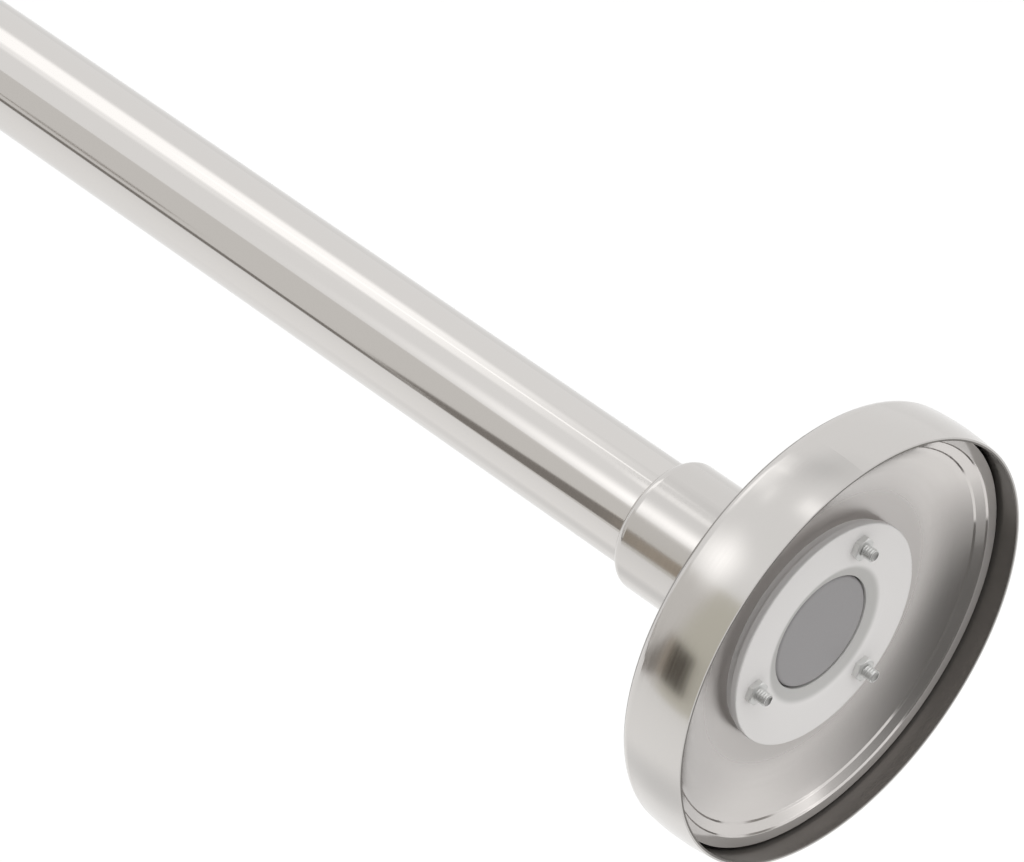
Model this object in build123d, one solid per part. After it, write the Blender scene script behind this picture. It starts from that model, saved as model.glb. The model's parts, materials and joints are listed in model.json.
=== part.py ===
from build123d import *
import os

# Corner shower curtain rod: two straight legs, an elbow between them and a round wall flange at each end.
# Millimetres, +Z up. The origin is the centre of the first flange's rim, on the wall plane.
# Leg a runs along +X from wall a, and leg b runs along +Y from the corner to wall b.

# Rod
LEG_A_LENGTH = 914.4  # wall a to the axis of leg b
LEG_B_LENGTH = 914.4  # wall b to the axis of leg a
TUBE_OD = 25.4
TUBE_WALL = 1.2
BEND_RADIUS = 76.2  # of the elbow's centre line

# Cover cup: spun sheet, open to the wall, that slides back along the collar and the tube
COVER_RIM_D = 102.6
COVER_BACK_ROOM = 0.7  # between the clamp screws' heads and the inside of the cup's back
COVER_SWELL = 0.7  # how far the bowed wall stands out past its two ends
COVER_EDGE_RADIUS = 3.2  # outside of the back edge
COVER_WALL = 0.8
COVER_GAP = 0.3  # all round between the cup and what it slides over

# Inner dish: pressed sheet that lies in the cup and carries the clamp; depths count from the wall plane
DISH_WALL = 1.0
LIP_DEPTH = 5.4
LIP_WIDTH = 2.5
STEP_DEPTH = 0.4  # of each of two small steps: from the lip to the band, and from the band to the bowl
STEP_RUN = 0.35
STEP_RADIUS = 0.15  # of the bends of both steps, on the side towards the wall
BAND_WIDTH = 2.0  # sloping band between the steps
BAND_FALL = 1.0
BOWL_DEPTH = 4.0  # from the foot of the inner step down to the flat floor
FLOOR_MARGIN = 0.8  # flat floor left outside the ring's edge

# Clamp ring: pale plate with a narrower foot that stands on the dish floor
RING_BORDER = 5.4  # from the screw circle to the ring's edge
RING_THICKNESS = 1.5  # of the plate
RING_FOOT_HEIGHT = 1.9  # plate's back to the dish floor
RING_OVERHANG = 0.8  # how far the plate stands out past its foot
RING_HOLE_ROOM = 1.0  # all round between the tube's size and the ring's hole
RING_DISHED_WIDTH = 3.0  # band round the hole where the face falls towards it
RING_DISHED_DEPTH = 1.2
RING_DISHED_BEND = 7.0  # radius of the soft bend at that band's outer edge
RING_EDGE_RADIUS = 0.3

# Collar: turned sleeve on the tube's end with a base flange behind the dish
COLLAR_WALL = 2.85
COLLAR_END_DEPTH = 55.6  # wall plane to the end of the rounded nose
COLLAR_NOSE_RADIUS = 2.5
COLLAR_NOSE_FLAT = 0.3  # least flat left on the end of the nose
COLLAR_BASE_THICKNESS = 1.8
COLLAR_ROOT_RADIUS = 1.2
SET_SCREW_FROM_NOSE = 11.0

# Clamp screws and nuts
SCREW_COUNT = 3
SCREW_ROOM = 3.0  # between the collar's outside and a screw head
SCREW_FIRST_ANGLE = 26.0  # degrees from straight up
SCREW_D = 3.0
SCREW_TIP_DEPTH = 3.7  # wall plane to the screw's end
SCREW_TIP_CHAMFER = 0.4
THREAD_DEPTH = 0.25  # outside of the thread to its core; the clamped length is drawn at the core
SCREW_HEAD_D = 5.4
SCREW_HEAD_HEIGHT = 1.7
SCREW_HEAD_RADIUS = 0.9
RECESS_LENGTH = 2.8  # cross recess in the head
RECESS_WIDTH = 0.7
RECESS_DEPTH = 0.9
SCREW_HOLE_GAP = 0.15
NUT_FLATS = 5.0
NUT_THICKNESS = 1.4
NUT_FACE_D = 4.7  # round flat of the outer face, where the corners' bevel starts
NUT_BEVEL = 0.25  # fall of that bevel at the corners
THREAD_GAP = 0.05

# End plug of each leg
PLUG_HEAD_THICKNESS = 3.2
PLUG_HEAD_GAP = 0.25  # round the head in the ring's hole
PLUG_EDGE_RADIUS = 0.9
PLUG_STEM_LENGTH = 11.0
PLUG_STEM_WALL = 1.6
PLUG_STEM_CHAMFER = 0.8

# Joiner sleeves between the legs and the elbow
JOINER_LENGTH = 56.0
JOINER_WALL = 2.0
JOINER_END_ROOM = 4.0  # straight tube left between the sleeve and the bend
JOINER_SCREW_OFFSET = 14.0  # joint to each grub screw
FIT_GAP = 0.05  # all round between a tube and the sleeve it fits

# Grub screws with a hex socket
GRUB_D = 4.0
GRUB_SUNK = 0.25  # below the surface round it
GRUB_SOCKET_FLATS = 2.0
GRUB_SOCKET_DEPTH = 1.4
JOINER_GRUB_LENGTH = 3.6
GRUB_HOLE_GAP = 0.08

# Sizes that follow from those above
TUBE_RADIUS = TUBE_OD / 2
TUBE_BORE_RADIUS = TUBE_RADIUS - TUBE_WALL
COLLAR_BORE_RADIUS = TUBE_RADIUS + FIT_GAP
COLLAR_RADIUS = COLLAR_BORE_RADIUS + COLLAR_WALL
SCREW_CIRCLE_RADIUS = COLLAR_RADIUS + SCREW_ROOM + SCREW_HEAD_D / 2
RING_RADIUS = SCREW_CIRCLE_RADIUS + RING_BORDER
RING_HOLE_RADIUS = TUBE_RADIUS + RING_HOLE_ROOM
FLOOR_DEPTH = LIP_DEPTH + 2 * STEP_DEPTH + BAND_FALL + BOWL_DEPTH
RING_BACK_DEPTH = FLOOR_DEPTH - RING_FOOT_HEIGHT
RING_FACE_DEPTH = RING_BACK_DEPTH - RING_THICKNESS
RING_FOOT_RADIUS = RING_RADIUS - RING_OVERHANG
NUT_FACE_DEPTH = RING_FACE_DEPTH - NUT_THICKNESS
SCREW_CORE_RADIUS = SCREW_D / 2 - THREAD_DEPTH
CLAMP_DEPTH = FLOOR_DEPTH + DISH_WALL  # back of the dish floor, where the collar's base bears
BASE_BACK_DEPTH = CLAMP_DEPTH + COLLAR_BASE_THICKNESS
SCREW_HEAD_TOP = BASE_BACK_DEPTH + SCREW_HEAD_HEIGHT
COVER_DEPTH = SCREW_HEAD_TOP + COVER_BACK_ROOM + COVER_WALL  # wall plane to the outside of the cup's back
PLUG_HEAD_RADIUS = RING_HOLE_RADIUS - PLUG_HEAD_GAP
ELBOW_STRAIGHT = JOINER_LENGTH / 2 + JOINER_END_ROOM
JOINER_RADIUS = TUBE_BORE_RADIUS - FIT_GAP
SET_SCREW_DEPTH = COLLAR_END_DEPTH - SET_SCREW_FROM_NOSE

# Each end is drawn about its own +Z, which points from the wall into the room, with its +X straight up
END_A = Plane(origin=(0, 0, 0), x_dir=(0, 0, 1), z_dir=(1, 0, 0))
END_B = Plane(origin=(LEG_A_LENGTH, LEG_B_LENGTH, 0), x_dir=(0, 0, 1), z_dir=(0, -1, 0))


def turned(section):
    """A solid turned from a section whose x is the radius and whose y is the depth from the wall."""
    return revolve(Plane.XZ * section, axis=Axis.Z)


def outline(*points):
    """A closed straight-sided section."""
    return make_face(Polyline(*points, close=True))


def corners(section, x, y):
    """The section's corner at that radius and depth."""
    return section.vertices().sort_by_distance((x, y, 0))[:1]


def bar(radius, start, end):
    """A round bar on the end's axis between two depths."""
    return Pos(0, 0, start) * Cylinder(radius, end - start, align=(Align.CENTER, Align.CENTER, Align.MIN))


def pipe(outer_radius, inner_radius, start, end):
    """A tube on the end's axis between two depths."""
    return bar(outer_radius, start, end) - bar(inner_radius, start, end)


def on_screw_circle(item):
    """Copies of an item at the places of the clamp screws."""
    angles = [SCREW_FIRST_ANGLE + 360 * i / SCREW_COUNT for i in range(SCREW_COUNT)]
    return [Rot(0, 0, angle) * Pos(SCREW_CIRCLE_RADIUS, 0, 0) * item for angle in angles]


def underside(radius, depth):
    """A plane on the underside of a tube of that radius, facing straight out."""
    return Plane(origin=(-radius, 0, depth), x_dir=(0, 0, 1), z_dir=(-1, 0, 0))


def grub_hole(radius, depth):
    """The cutter for a grub screw's hole from the axis out through the underside."""
    return underside(0, depth) * Cylinder(
        GRUB_D / 2 + GRUB_HOLE_GAP, 2 * radius, align=(Align.CENTER, Align.CENTER, Align.MIN)
    )


def grub_screw(surface_radius, length, depth):
    """A headless screw with a hex socket, sunk a little below the surface."""
    body = Cylinder(GRUB_D / 2, length, align=(Align.CENTER, Align.CENTER, Align.MAX))
    socket = extrude(RegularPolygon(GRUB_SOCKET_FLATS / 2, 6, major_radius=False), -GRUB_SOCKET_DEPTH)
    return underside(surface_radius - GRUB_SUNK, depth) * (body - socket)


def cup_form(inset):
    """The solid inside the cup's outer skin, or inside its inner skin when moved in by the wall."""
    rim = (COVER_RIM_D / 2 - inset, 0)
    middle = (COVER_RIM_D / 2 + COVER_SWELL - inset, COVER_DEPTH / 2)
    back = (COVER_RIM_D / 2 - inset, COVER_DEPTH - inset)
    centre = (0, COVER_DEPTH - inset)
    edges = [
        Line((0, 0), rim),
        ThreePointArc(rim, middle, back),
        Line(back, centre),
        Line(centre, (0, 0)),
    ]
    section = make_face(edges)
    section = fillet(corners(section, *back), COVER_EDGE_RADIUS - inset)
    return turned(section)


def cover_cup():
    """Spun cup with a hole that clears the collar."""
    return cup_form(0) - cup_form(COVER_WALL) - bar(COLLAR_RADIUS + COVER_GAP, 0, COVER_DEPTH)


def inner_dish():
    """Pressed dish: flat lip, a sloping band between two small steps, shallow bowl and flat floor."""
    lip_radius = COVER_RIM_D / 2 - COVER_WALL - COVER_GAP
    floor_radius = RING_RADIUS + FLOOR_MARGIN
    lip_edge = (lip_radius - LIP_WIDTH, LIP_DEPTH)
    band_top = (lip_edge[0] - STEP_RUN, LIP_DEPTH + STEP_DEPTH)
    band_foot = (band_top[0] - BAND_WIDTH, band_top[1] + BAND_FALL)
    bowl_edge = (band_foot[0] - STEP_RUN, band_foot[1] + STEP_DEPTH)
    front = [
        Line((RING_HOLE_RADIUS, FLOOR_DEPTH), (floor_radius, FLOOR_DEPTH)),
        TangentArc((floor_radius, FLOOR_DEPTH), bowl_edge, tangent=(1, 0)),
        Line(bowl_edge, band_foot),
        Line(band_foot, band_top),
        Line(band_top, lip_edge),
        Line(lip_edge, (lip_radius, LIP_DEPTH)),
    ]
    back = [Pos(0, DISH_WALL) * edge for edge in front]
    ends = [
        Line((RING_HOLE_RADIUS, FLOOR_DEPTH), (RING_HOLE_RADIUS, CLAMP_DEPTH)),
        Line((lip_radius, LIP_DEPTH), (lip_radius, LIP_DEPTH + DISH_WALL)),
    ]
    section = make_face(front + back + ends)
    for bend in (bowl_edge, band_foot, band_top, lip_edge):
        section = fillet(corners(section, *bend), STEP_RADIUS)
    holes = on_screw_circle(bar(SCREW_D / 2 + SCREW_HOLE_GAP, FLOOR_DEPTH, CLAMP_DEPTH))
    return turned(section) - holes


def clamp_ring():
    """Flat plate on a narrower foot; the face falls towards the centre hole."""
    dished_edge = RING_HOLE_RADIUS + RING_DISHED_WIDTH
    section = outline(
        (RING_HOLE_RADIUS, FLOOR_DEPTH),
        (RING_FOOT_RADIUS, FLOOR_DEPTH),
        (RING_FOOT_RADIUS, RING_BACK_DEPTH),
        (RING_RADIUS, RING_BACK_DEPTH),
        (RING_RADIUS, RING_FACE_DEPTH),
        (dished_edge, RING_FACE_DEPTH),
        (RING_HOLE_RADIUS, RING_FACE_DEPTH + RING_DISHED_DEPTH),
    )
    section = fillet(corners(section, RING_RADIUS, RING_FACE_DEPTH), RING_EDGE_RADIUS)
    section = fillet(corners(section, dished_edge, RING_FACE_DEPTH), RING_DISHED_BEND)
    holes = on_screw_circle(bar(SCREW_D / 2 + SCREW_HOLE_GAP, RING_FACE_DEPTH, FLOOR_DEPTH))
    return turned(section) - holes


def collar():
    """Sleeve with a rounded nose and a base flange that the clamp screws pull against the dish."""
    section = outline(
        (COLLAR_BORE_RADIUS, CLAMP_DEPTH),
        (RING_RADIUS, CLAMP_DEPTH),
        (RING_RADIUS, BASE_BACK_DEPTH),
        (COLLAR_RADIUS, BASE_BACK_DEPTH),
        (COLLAR_RADIUS, COLLAR_END_DEPTH),
        (COLLAR_BORE_RADIUS, COLLAR_END_DEPTH),
    )
    nose_radius = min(COLLAR_NOSE_RADIUS, COLLAR_WALL - COLLAR_NOSE_FLAT)
    section = fillet(corners(section, COLLAR_RADIUS, COLLAR_END_DEPTH), nose_radius)
    section = fillet(corners(section, COLLAR_RADIUS, BASE_BACK_DEPTH), COLLAR_ROOT_RADIUS)
    holes = on_screw_circle(bar(SCREW_D / 2 + SCREW_HOLE_GAP, CLAMP_DEPTH, BASE_BACK_DEPTH))
    return turned(section) - holes - grub_hole(COLLAR_RADIUS, SET_SCREW_DEPTH)


def collar_set_screw():
    """Grub screw in the collar's underside that bears on the tube."""
    length = COLLAR_RADIUS - GRUB_SUNK - TUBE_RADIUS
    return grub_screw(COLLAR_RADIUS, length, SET_SCREW_DEPTH)


def clamp_screws():
    """Pan-head machine screws: heads behind the collar's base, ends pointing at the wall."""
    free_end = bar(SCREW_D / 2, SCREW_TIP_DEPTH, NUT_FACE_DEPTH)
    free_end = chamfer(free_end.edges().sort_by(Axis.Z)[0], SCREW_TIP_CHAMFER)
    shank = bar(SCREW_CORE_RADIUS, NUT_FACE_DEPTH, BASE_BACK_DEPTH)
    head = bar(SCREW_HEAD_D / 2, BASE_BACK_DEPTH, SCREW_HEAD_TOP)
    head = fillet(head.edges().sort_by(Axis.Z)[-1], SCREW_HEAD_RADIUS)
    slot = Box(RECESS_LENGTH, RECESS_WIDTH, RECESS_DEPTH, align=(Align.CENTER, Align.CENTER, Align.MAX))
    cross = slot + Rot(0, 0, 90) * slot
    screw = free_end + shank + head - Pos(0, 0, SCREW_HEAD_TOP) * cross
    return Part() + on_screw_circle(screw)


def clamp_nuts():
    """Hex nuts on the ring's face, with their outer corners turned off."""
    hexagon = extrude(RegularPolygon(NUT_FLATS / 2, 6, major_radius=False), NUT_THICKNESS)
    corner_radius = NUT_FLATS / 3**0.5
    blank = turned(
        outline(
            (0, NUT_FACE_DEPTH),
            (NUT_FACE_D / 2, NUT_FACE_DEPTH),
            (corner_radius, NUT_FACE_DEPTH + NUT_BEVEL),
            (corner_radius, RING_FACE_DEPTH),
            (0, RING_FACE_DEPTH),
        )
    )
    hole = bar(SCREW_CORE_RADIUS + THREAD_GAP, NUT_FACE_DEPTH, RING_FACE_DEPTH)
    nut = (Pos(0, 0, NUT_FACE_DEPTH) * hexagon & blank) - hole
    return Part() + on_screw_circle(nut)


def tube_plug():
    """Plug with a round-edged head that closes the leg's end, and a hollow stem inside it."""
    head = bar(PLUG_HEAD_RADIUS, CLAMP_DEPTH - PLUG_HEAD_THICKNESS, CLAMP_DEPTH)
    head = fillet(head.edges().sort_by(Axis.Z)[0], PLUG_EDGE_RADIUS)
    stem_radius = TUBE_BORE_RADIUS - FIT_GAP
    stem = bar(stem_radius, CLAMP_DEPTH, CLAMP_DEPTH + PLUG_STEM_LENGTH)
    stem = chamfer(stem.edges().sort_by(Axis.Z)[-1], PLUG_STEM_CHAMFER)
    hollow = bar(stem_radius - PLUG_STEM_WALL, CLAMP_DEPTH, CLAMP_DEPTH + PLUG_STEM_LENGTH)
    return head + (stem - hollow)


def joint_depth(leg_length):
    """Depth from the wall at which the leg meets the elbow."""
    return leg_length - BEND_RADIUS - ELBOW_STRAIGHT


def leg(leg_length):
    """Straight tube from the plug to the elbow."""
    joint = joint_depth(leg_length)
    hole = grub_hole(TUBE_RADIUS, joint - JOINER_SCREW_OFFSET)
    return pipe(TUBE_RADIUS, TUBE_BORE_RADIUS, CLAMP_DEPTH, joint) - hole


def elbow_straight(leg_length):
    """The elbow's straight end towards one wall."""
    joint = joint_depth(leg_length)
    hole = grub_hole(TUBE_RADIUS, joint + JOINER_SCREW_OFFSET)
    return pipe(TUBE_RADIUS, TUBE_BORE_RADIUS, joint, joint + ELBOW_STRAIGHT) - hole


def corner_elbow():
    """Quarter bend with a straight end towards each leg."""
    bend_start = Plane(origin=(LEG_A_LENGTH - BEND_RADIUS, 0, 0), x_dir=(0, 0, 1), z_dir=(1, 0, 0))
    ring = bend_start * (Circle(TUBE_RADIUS) - Circle(TUBE_BORE_RADIUS))
    centre = Axis((LEG_A_LENGTH - BEND_RADIUS, BEND_RADIUS, 0), (0, 0, 1))
    bend = revolve(ring, axis=centre, revolution_arc=90)
    return END_A * elbow_straight(LEG_A_LENGTH) + bend + END_B * elbow_straight(LEG_B_LENGTH)


def joiner_screw_depths(leg_length):
    """Depths of a joiner's two grub screws, one each side of the joint."""
    joint = joint_depth(leg_length)
    return (joint - JOINER_SCREW_OFFSET, joint + JOINER_SCREW_OFFSET)


def joiner(leg_length):
    """Sleeve inside the leg and the elbow, half in each."""
    start = joint_depth(leg_length) - JOINER_LENGTH / 2
    sleeve = pipe(JOINER_RADIUS, JOINER_RADIUS - JOINER_WALL, start, start + JOINER_LENGTH)
    return sleeve - [grub_hole(JOINER_RADIUS, depth) for depth in joiner_screw_depths(leg_length)]


def joiner_screws(leg_length):
    """Grub screws through the tube's underside into the joiner."""
    depths = joiner_screw_depths(leg_length)
    return Part() + [grub_screw(TUBE_RADIUS, JOINER_GRUB_LENGTH, depth) for depth in depths]


os.makedirs("parts", exist_ok=True)
nodes = {"corner_elbow": corner_elbow()}
for suffix, place, leg_length in (("a", END_A, LEG_A_LENGTH), ("b", END_B, LEG_B_LENGTH)):
    end_pieces = {
        "cover_cup": cover_cup(),
        "inner_dish": inner_dish(),
        "clamp_ring": clamp_ring(),
        "clamp_screws": clamp_screws(),
        "clamp_nuts": clamp_nuts(),
        "collar": collar(),
        "collar_set_screw": collar_set_screw(),
        "tube_plug": tube_plug(),
        "leg": leg(leg_length),
        "joiner": joiner(leg_length),
        "joiner_screws": joiner_screws(leg_length),
    }
    for name, piece in end_pieces.items():
        nodes[f"{name}_{suffix}"] = place * piece
for name, piece in nodes.items():
    export_step(piece, f"parts/{name}.step")
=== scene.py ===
import json
import math

import bpy
from bpy.props import FloatProperty, FloatVectorProperty, IntProperty, PointerProperty
from mathutils import Matrix, Vector


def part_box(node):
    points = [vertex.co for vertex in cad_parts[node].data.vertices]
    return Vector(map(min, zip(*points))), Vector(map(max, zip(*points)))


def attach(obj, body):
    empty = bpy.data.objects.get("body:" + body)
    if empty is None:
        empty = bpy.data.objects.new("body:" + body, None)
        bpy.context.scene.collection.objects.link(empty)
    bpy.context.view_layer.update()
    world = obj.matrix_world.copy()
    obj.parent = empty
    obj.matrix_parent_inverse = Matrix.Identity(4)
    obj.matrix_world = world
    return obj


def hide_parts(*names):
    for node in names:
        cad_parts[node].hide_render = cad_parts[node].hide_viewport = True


# Corner shower curtain rod: finishes for the tubes, covers and clamp parts, threaded clamp screws,
# and the studio. Metres, +Z up. Flange a stands on the wall plane x = 0, and flange b on the wall
# at the end of leg b.

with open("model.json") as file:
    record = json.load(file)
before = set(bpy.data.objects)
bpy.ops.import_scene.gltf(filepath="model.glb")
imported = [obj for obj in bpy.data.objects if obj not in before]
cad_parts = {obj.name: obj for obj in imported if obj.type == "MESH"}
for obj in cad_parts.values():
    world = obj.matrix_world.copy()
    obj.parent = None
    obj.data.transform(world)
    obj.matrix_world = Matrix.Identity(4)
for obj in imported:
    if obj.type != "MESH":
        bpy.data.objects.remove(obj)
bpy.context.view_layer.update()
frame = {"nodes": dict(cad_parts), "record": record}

bl_info = {
    "name": "Corner shower curtain rod",
    "version": (1, 0, 0),
    "blender": (4, 5, 0),
    "location": "View3D > Sidebar > Curtain Rod",
    "description": "Finishes, threaded screws and studio for a corner shower curtain rod",
    "category": "Object",
}

MM = 0.001
MICRON = 1e-6
ENDS = ("a", "b")
MOUNTS = {mount["name"]: mount for mount in frame["record"]["mounts"]}

NOISE_RANGE = {"From Min": 0.3, "From Max": 0.7}  # most of a noise texture's values lie in this range
POLISH_SPREAD = 0.1  # how far the polishing lines change the roughness, as a share of it
LIP_EDGE = 0.1 * MM  # width over which the dish's bright band turns to the grey lip
STEP_EDGE = 1 * MM  # width over which the dish's bowl turns to its sharper steps
CORNER_FADE = 5 * MM  # width over which the dish's dull corner turns to its rubbed bowl
SHADE_INSIDE = 0.6 * MM  # how far inside the band's radius the ring's painted shade starts to fade
SHADE_OUTSIDE = 0.9 * MM  # how far outside that radius the painted shade is gone
END_RIM = 0.1 * MM  # flat rim left round the hollow in a screw's end
HOLLOW_SLACK = 1.1  # the hollow's faces are looked for a little past its depth
SPARE_TURNS = 3  # turns of thread wound beyond the length, then cut off
THREAD_STEPS = 32  # flats in one turn of thread
PLAIN_SIDES = 48  # flats round a screw's core and hollow
FINE_SIDES = 64  # flats round a screw's head and chamfer
SMOOTH_ANGLE = math.radians(35)  # edges that turn by more than this stay sharp
HARD_EDGE = 1e-4  # the least fade of a card's edge, as a share of its side


def hex_colour(text):
    """Linear colour of an sRGB hex value."""
    parts = [int(text[i : i + 2], 16) / 255 for i in (1, 3, 5)]
    return tuple(c / 12.92 if c <= 0.04045 else ((c + 0.055) / 1.055) ** 2.4 for c in parts)


def colour(name, text, words):
    """A colour that the user can change, given as an sRGB hex value."""
    return FloatVectorProperty(
        name=name, description=words, default=hex_colour(text), subtype="COLOR", size=3, min=0, max=1
    )


def length(name, millimetres, words):
    """A length that the user can change, given in millimetres."""
    return FloatProperty(
        name=name, description=words, default=millimetres * MM, subtype="DISTANCE", unit="LENGTH"
    )


def position(name, metres, words):
    """A place that the user can change, given in metres."""
    return FloatVectorProperty(
        name=name, description=words, default=metres, subtype="TRANSLATION", unit="LENGTH", size=3
    )


def share(name, value, words):
    """A number from 0 to 1 that the user can change."""
    return FloatProperty(name=name, description=words, default=value, min=0, max=1, subtype="FACTOR")


def angle(name, degrees, words):
    """An angle that the user can change, given in degrees."""
    return FloatProperty(
        name=name, description=words, default=math.radians(degrees), subtype="ANGLE", unit="ROTATION"
    )


class FinishSettings(bpy.types.PropertyGroup):
    """Colours and surface of each material."""

    tube_colour: colour("Tube colour", "#D5D2CF", "Polished nickel on the legs and the elbow")
    tube_roughness: share("Tube roughness", 0.075, "Sharpness of the tube's reflections, 0 is a mirror")
    nickel_edge: share("Nickel edge", 0.92, "Brightness of the nickel where it is seen edge on")
    cover_colour: colour("Cover colour", "#CECBC8", "Polished nickel on the spun covers and collars")
    cover_roughness: share("Cover roughness", 0.16, "Sharpness of the cover's reflections")
    cover_rim: length("Cover rim radius", 51.3, "Outside of the cover at its rim and at its back")
    cover_sheet: length("Cover sheet", 0.8, "Thickness of the spun sheet")
    # The inside colour is painted shade: it darkens the inside of the covers.
    inside_shade_colour: colour("Cover inside colour", "#736F6B", "Unpolished plate inside the covers")
    inside_roughness: share("Cover inside roughness", 0.28, "Sharpness of the reflections inside the covers")
    inside_shine: share("Cover inside shine", 0.6, "Share of the covers' inside that mirrors")
    collar_roughness: share("Collar roughness", 0.12, "Sharpness of the collar's reflections")
    dish_colour: colour("Dish colour", "#D0CCC9", "Bright pressed steel of the inner dishes")
    dish_roughness: share("Dish roughness", 0.17, "Sharpness of the dish's reflections")
    dish_bloom: share("Dish bloom", 0.15, "Share of the dish's surface that scatters light")
    corner_roughness: share("Corner roughness", 0.32, "Sharpness of the reflections round the dish's floor")
    corner_radius: length("Corner radius", 31, "Radius within which the punch leaves the dish unrubbed")
    lip_roughness: share("Lip roughness", 0.11, "Sharpness of the reflections on the dish's steps and lip")
    step_radius: length("Step radius", 44.4, "Radius outside which the dish's steps and lip lie")
    lip_bloom: share("Lip bloom", 0.52, "Share of the lip's surface that scatters light")
    lip_radius: length("Lip radius", 47.6, "Inner edge of the dish's flat lip")
    ring_colour: colour("Ring colour", "#E1DFDE", "Pale matt casting of the clamp rings")
    # The two settings below paint the dished band round the ring's hole darker: painted shade in the recess.
    ring_shade_colour: colour("Ring skin colour", "#BDBCBA", "Cast skin left in the band round the ring's hole")
    ring_band: length("Ring band radius", 16.2, "Radius within which the ring keeps its cast skin")
    zinc_colour: colour("Zinc colour", "#DADAD8", "Zinc plating on the clamp screws and nuts")
    zinc_shine: share("Zinc shine", 0.6, "Share of the zinc's surface that mirrors, the rest scatters light")
    # The cut end colour is partly bare steel and partly painted shade in the screws' hollow ends.
    bare_end_shade_colour: colour("Cut end colour", "#A5A4A2", "Bare steel in the hollow ends of the clamp screws")
    plug_colour: colour("Plug colour", "#979596", "Moulded grey plastic of the tube plugs")
    grub_colour: colour("Grub screw colour", "#6E6D6B", "Plain hardened steel of the grub screws")
    joiner_colour: colour("Joiner colour", "#A9A8A6", "Plain drawn steel of the joiner sleeves")
    # The real lines and grains are a few hundredths of a millimetre to 0.2 mm: too fine to show in the
    # render, so each is drawn as coarse as it needs to show.
    polish_spacing: length("Polishing line spacing", 0.9, "Distance between polishing lines on the metals")
    cast_grain: length("Cast grain", 0.5, "Size of the grain on the clamp ring")
    zinc_cloud: length("Zinc cloud", 0.8, "Size of the cloudy patches in the zinc's gloss")
    plug_grain: length("Plug grain", 0.6, "Size of the sparked texture on the tube plugs")


class ScrewSettings(bpy.types.PropertyGroup):
    """Sizes of one clamp screw."""

    count: IntProperty(
        name="Screws in a flange",
        description="Clamp screws spaced evenly round each flange",
        default=MOUNTS["studs_a"]["dims"]["count"],
        min=1,
    )
    first_angle: angle("First screw", 26, "Angle of the first screw from straight up")
    thread_radius: length("Thread radius", MOUNTS["studs_a"]["dims"]["stud_r_mm"], "Outside of the thread")
    # An M3 thread's pitch is 0.5 mm. It is drawn coarser, so that its turns show in the render.
    thread_pitch: length("Thread pitch", 0.65, "Distance between turns")
    thread_depth: length("Thread depth", 0.3, "Crest to root")
    tip_chamfer: length("Tip chamfer", 0.15, "Bevel on the end of the thread")
    tip_hollow: length("Tip hollow", 0.65, "Depth of the hollow that rolling leaves in the end")
    head_diameter: length("Head diameter", 5.4, "Pan head behind the collar's base")
    head_height: length("Head height", 1.7, "Height of the pan head")
    head_edge: length("Head edge", 0.9, "Rounding of the head's outer edge")
    recess_length: length("Recess length", 2.8, "Length of each slot of the cross recess")
    recess_width: length("Recess width", 0.7, "Width of each slot")
    recess_depth: length("Recess depth", 0.9, "Depth of the cross recess")


class StudioSettings(bpy.types.PropertyGroup):
    """Camera, floor and light."""

    lens: FloatProperty(
        name="Lens", description="Focal length on a 36 mm sensor", default=185.8, subtype="DISTANCE_CAMERA"
    )
    camera_place: position("Camera place", (-0.5078, 0.5918, 0.7717), "Where the camera stands")
    camera_azimuth: angle("Camera azimuth", 135.82, "Side that the camera looks from, turned from +X")
    camera_elevation: angle("Camera elevation", 42.4, "How far the camera looks down")
    floor_drop: length("Floor drop", 1000, "Floor below the rod's axis")
    floor_radius: length("Floor radius", 40000, "Size of the round floor")
    floor_colour: colour("Floor colour", "#F4F3F1", "Pale floor")
    floor_glow: share("Floor glow", 0.8, "Share of the floor that is white to the eye, the rest takes shadow")
    ambient: share("Ambient light", 0.8, "White light from all round on matt surfaces")
    key_power: FloatProperty(
        name="Key light", description="Power of the large lamp above the rod", default=55, unit="POWER"
    )
    lamp_size: length("Lamp size", 1600, "Width of the round lamp above the rod")
    lamp_place: position("Lamp place", (0.2, 0.3, 1.9), "Where the lamp hangs")


class CurtainRodSettings(bpy.types.PropertyGroup):
    """All settings of the curtain rod."""

    finish: PointerProperty(type=FinishSettings)
    screw: PointerProperty(type=ScrewSettings)
    studio: PointerProperty(type=StudioSettings)


def settings():
    """The scene's own settings."""
    return bpy.context.scene.curtain_rod


def new_material(name):
    """A material and its node tree, with no nodes yet."""
    material = bpy.data.materials.new(name)
    material.use_nodes = True
    material.node_tree.nodes.clear()
    return material, material.node_tree


def add_node(tree, kind, inputs=None, links=None, **options):
    """Add a node, set its options and input values, and link its inputs to other nodes' outputs."""
    node = tree.nodes.new(kind)
    for key, value in options.items():
        setattr(node, key, value)
    for key, value in (inputs or {}).items():
        node.inputs[key].default_value = value
    for key, source in (links or {}).items():
        tree.links.new(source, node.inputs[key])
    return node


def rgba(linear):
    """A linear colour with full alpha, for a node's socket."""
    return (*linear, 1.0)


def assign(node, material):
    """Give a CAD node one material all over."""
    slots = frame["nodes"][node].data.materials
    slots.clear()
    slots.append(material)


def flange_matrix(end):
    """Turns the flange's own frame, +Z from the wall into the room and +X up, to its place on the rod."""
    mount = MOUNTS[f"wall_face_{end}"]
    into_room = -Vector(mount["axis"])
    up = Vector((0, 0, 1))
    side = into_room.cross(up)
    turn = Matrix((up, side, into_room)).transposed().to_4x4()
    return Matrix.Translation(mount["pos_m"]) @ turn


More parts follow.
